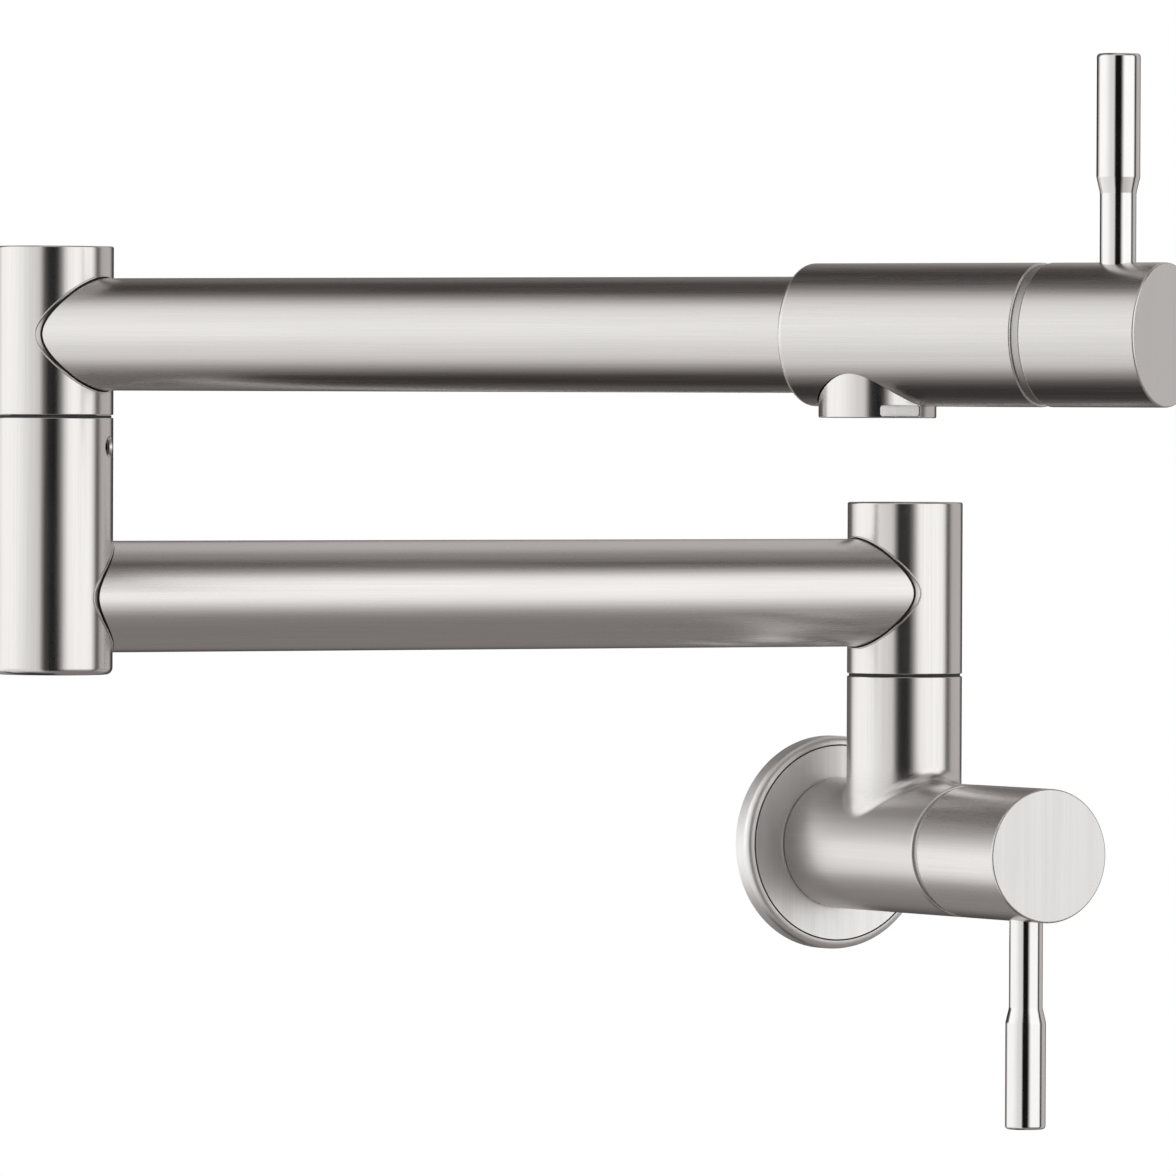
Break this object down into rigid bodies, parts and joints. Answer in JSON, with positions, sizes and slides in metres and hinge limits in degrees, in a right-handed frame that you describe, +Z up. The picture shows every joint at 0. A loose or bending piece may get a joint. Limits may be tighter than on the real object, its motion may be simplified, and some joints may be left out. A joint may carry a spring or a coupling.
{
  "type": "wall mounted pot filler",
  "caption": "Wall mounted pot filler tap: jointed tube arms on swivel posts, with a quarter turn lever valve at the wall and another at the spout.",
  "frame": {"origin": "centre of the cover plate's back, on the axis of the supply thread, in the plane of the wall", "axes": "+Y points into the wall along the supply thread, -Y into the room, +Z is up, and the lower arm lies along -X at rest"},
  "size_m": [0.298, 0.3478, 0.2738],
  "materials": {
    "brushed_steel": "fine brushed stainless steel, grain along each piece",
    "brushed_plate": "brushed stainless steel with a bright rounded rim",
    "polished_steel": "polished stainless steel",
    "dark_screw": "dark plain steel",
    "plain_brass": "machined brass",
    "seal_rubber": "black moulded rubber",
    "glide_plastic": "grey glide plastic",
    "comb_plastic": "pale grey moulded plastic",
    "white_ceramic": "lapped white ceramic"
  },
  "bodies": {
    "wall_side": {"wall_flange": "brushed_plate", "wall_gasket": "seal_rubber", "inlet_nipple": "plain_brass", "inlet_washer": "seal_rubber", "inlet_valve_body": "brushed_steel", "inlet_disc_seal": "seal_rubber", "inlet_fixed_disc": "white_ceramic", "inlet_bonnet": "plain_brass", "inlet_slip_ring": "brushed_steel", "shoulder_glide_washer": "glide_plastic", "shoulder_set_screw": "dark_screw"},
    "inlet_handle": {"inlet_moving_disc": "white_ceramic", "inlet_stem": "plain_brass", "inlet_stem_ring": "seal_rubber", "inlet_cap": "brushed_steel", "inlet_lever": "polished_steel"},
    "lower_arm": {"shoulder_spigot": "plain_brass", "shoulder_o_rings": "seal_rubber", "shoulder_knuckle": "brushed_steel", "lower_arm_tube": "brushed_steel", "elbow_post": "brushed_steel", "elbow_glide_washer": "glide_plastic", "elbow_set_screw": "dark_screw"},
    "upper_arm": {"elbow_spigot": "plain_brass", "elbow_o_rings": "seal_rubber", "elbow_knuckle": "brushed_steel", "upper_arm_tube": "brushed_steel", "outlet_valve_body": "brushed_steel", "outlet_disc_seal": "seal_rubber", "outlet_fixed_disc": "white_ceramic", "outlet_bonnet": "plain_brass", "outlet_slip_ring": "brushed_steel", "aerator_housing": "brushed_steel", "aerator_insert": "comb_plastic", "aerator_washer": "seal_rubber"},
    "outlet_handle": {"outlet_moving_disc": "white_ceramic", "outlet_stem": "plain_brass", "outlet_stem_ring": "seal_rubber", "outlet_cap": "brushed_steel", "outlet_lever": "polished_steel"}
  },
  "joints": [
    {"name": "shoulder_swivel", "type": "hinge", "parent": "wall_side", "child": "lower_arm", "pos_m": [0, -0.0396, 0.045], "axis": [0, 0, 1], "range_deg": [0, 180]},
    {"name": "elbow_swivel", "type": "hinge", "parent": "lower_arm", "child": "upper_arm", "pos_m": [-0.2542, -0.0396, 0.113], "axis": [0, 0, 1], "continuous": true},
    {"name": "inlet_valve_turn", "type": "hinge", "parent": "wall_side", "child": "inlet_handle", "pos_m": [0, -0.1, 0], "axis": [0, -1, 0], "range_deg": [0, 90]},
    {"name": "outlet_valve_turn", "type": "hinge", "parent": "upper_arm", "child": "outlet_handle", "pos_m": [-0.2542, -0.0396, 0.13425], "axis": [0.4879, -0.8729, 0], "range_deg": [0, 90]}
  ]
}
